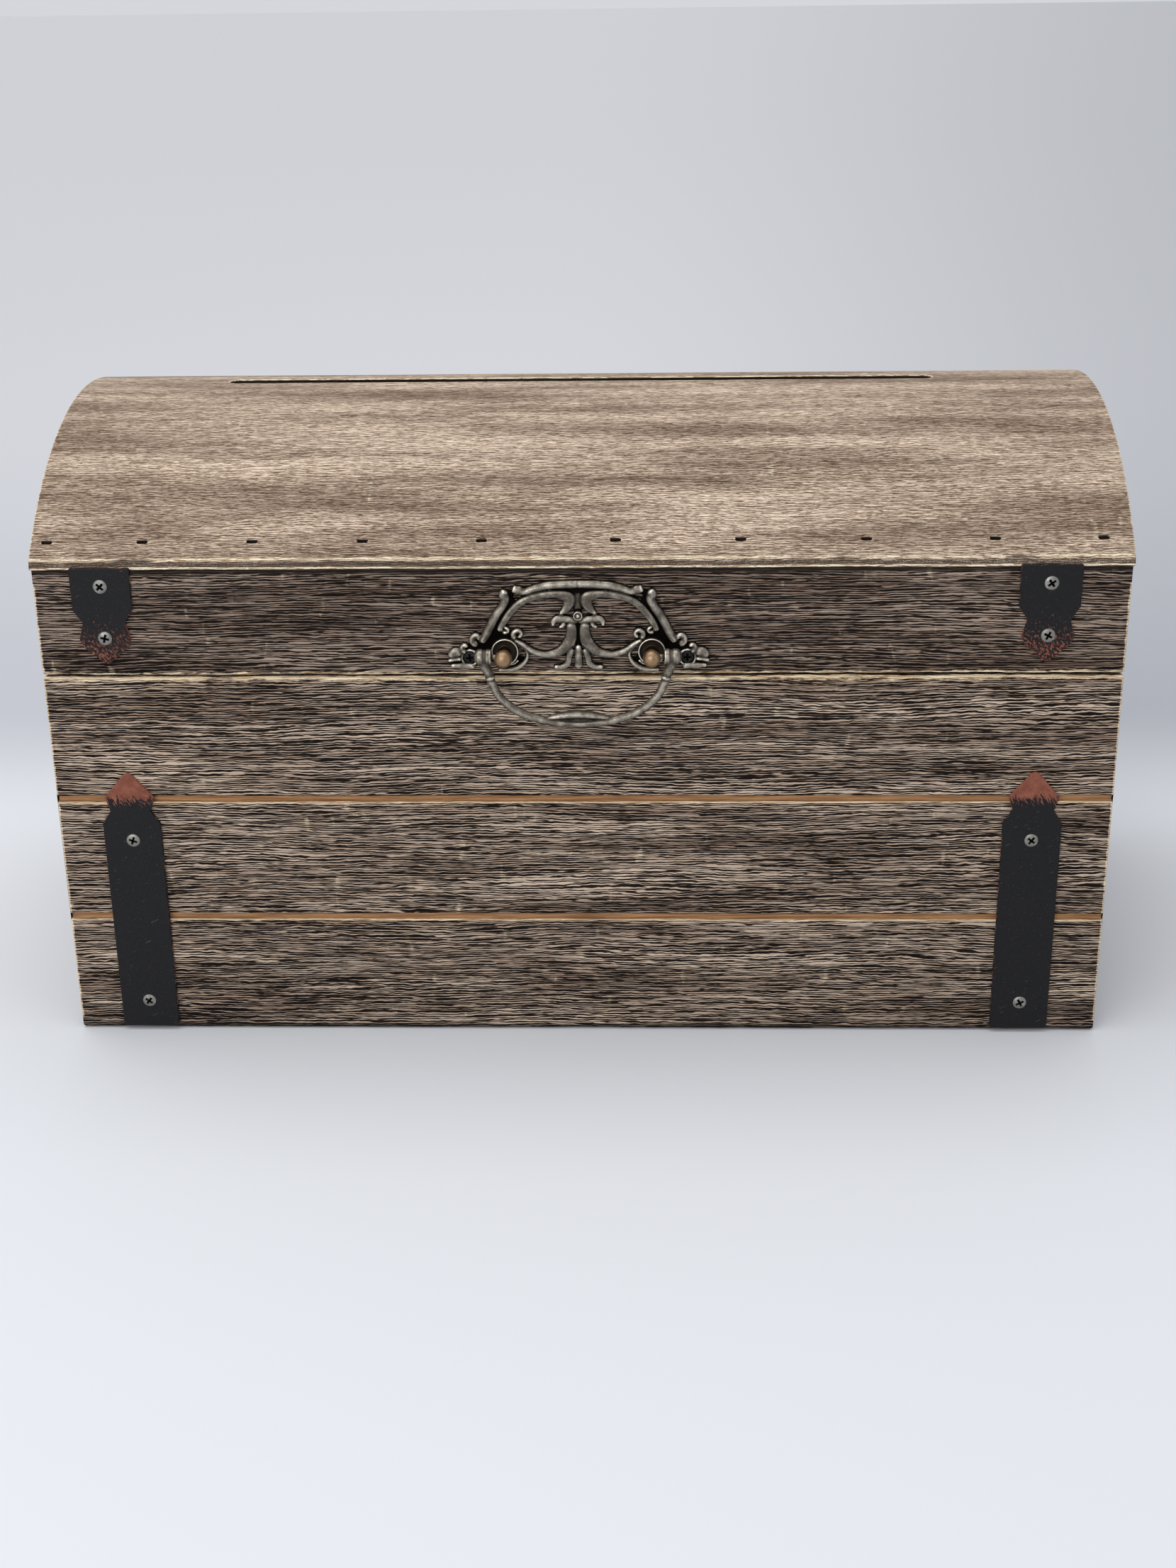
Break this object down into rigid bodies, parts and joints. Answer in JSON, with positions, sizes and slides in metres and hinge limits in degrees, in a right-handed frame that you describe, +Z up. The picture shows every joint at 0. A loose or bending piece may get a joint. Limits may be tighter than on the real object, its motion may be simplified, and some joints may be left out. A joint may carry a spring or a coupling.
{
  "type": "wedding card box",
  "caption": "Rectangular wooden chest with a hinged arched lid, a long card slot along its top, flat metal straps and a swinging bail handle on an openwork plate.",
  "frame": {"origin": "middle of the flat underside of the box body", "axes": "+X along the box's length, +Y from the front to the back, +Z up"},
  "size_m": [0.381, 0.2194, 0.2262],
  "materials": {
    "burnt_wood": "burnt and brushed softwood boards, grey-brown, with pale worn edges",
    "burnt_plywood": "thin brushed plywood, lighter grey-tan",
    "raw_plywood": "bare unfinished wood",
    "black_strap": "satin black paint with copper-brown rubbed tips",
    "screw_steel": "dark nickel",
    "dark_screw": "blackened steel",
    "brad_steel": "dull wire",
    "hinge_bronze": "antique bronze plate",
    "antique_pewter": "antiqued pewter casting, dark recesses and rubbed high points",
    "rubbed_brass": "antiqued casting rubbed to brass on the ball"
  },
  "bodies": {
    "box": {"front_panel": "burnt_wood", "back_panel": "burnt_wood", "left_end_panel": "burnt_wood", "right_end_panel": "burnt_wood", "bottom_panel": "raw_plywood", "body_strap_left": "black_strap", "body_strap_right": "black_strap", "body_strap_screws": "screw_steel", "hinge_left_body_leaf": "hinge_bronze", "hinge_right_body_leaf": "hinge_bronze", "hinge_left_pin": "hinge_bronze", "hinge_right_pin": "hinge_bronze", "hinge_body_screws": "hinge_bronze"},
    "lid": {"lid_front_rail": "burnt_wood", "lid_back_rail": "burnt_wood", "lid_left_end": "burnt_wood", "lid_right_end": "burnt_wood", "lid_top_panel": "burnt_plywood", "slot_batten": "raw_plywood", "lid_front_brads": "brad_steel", "lid_back_brads": "brad_steel", "slot_staples": "brad_steel", "lid_strap_left": "black_strap", "lid_strap_right": "black_strap", "lid_strap_screws": "screw_steel", "hinge_left_lid_leaf": "hinge_bronze", "hinge_right_lid_leaf": "hinge_bronze", "hinge_lid_screws": "hinge_bronze", "handle_backplate": "antique_pewter", "handle_post_left": "rubbed_brass", "handle_post_right": "rubbed_brass", "handle_screws": "dark_screw"},
    "bail": {"handle_bail": "antique_pewter"}
  },
  "joints": [
    {"name": "lid_hinge", "type": "hinge", "parent": "box", "child": "lid", "pos_m": [0, 0.1028, 0.14], "axis": [-1, 0, 0], "range_deg": [0, 180]},
    {"name": "bail_swing", "type": "hinge", "parent": "lid", "child": "bail", "pos_m": [0, -0.1085, 0.1495], "axis": [-1, 0, 0], "range_deg": [-10, 165]}
  ]
}
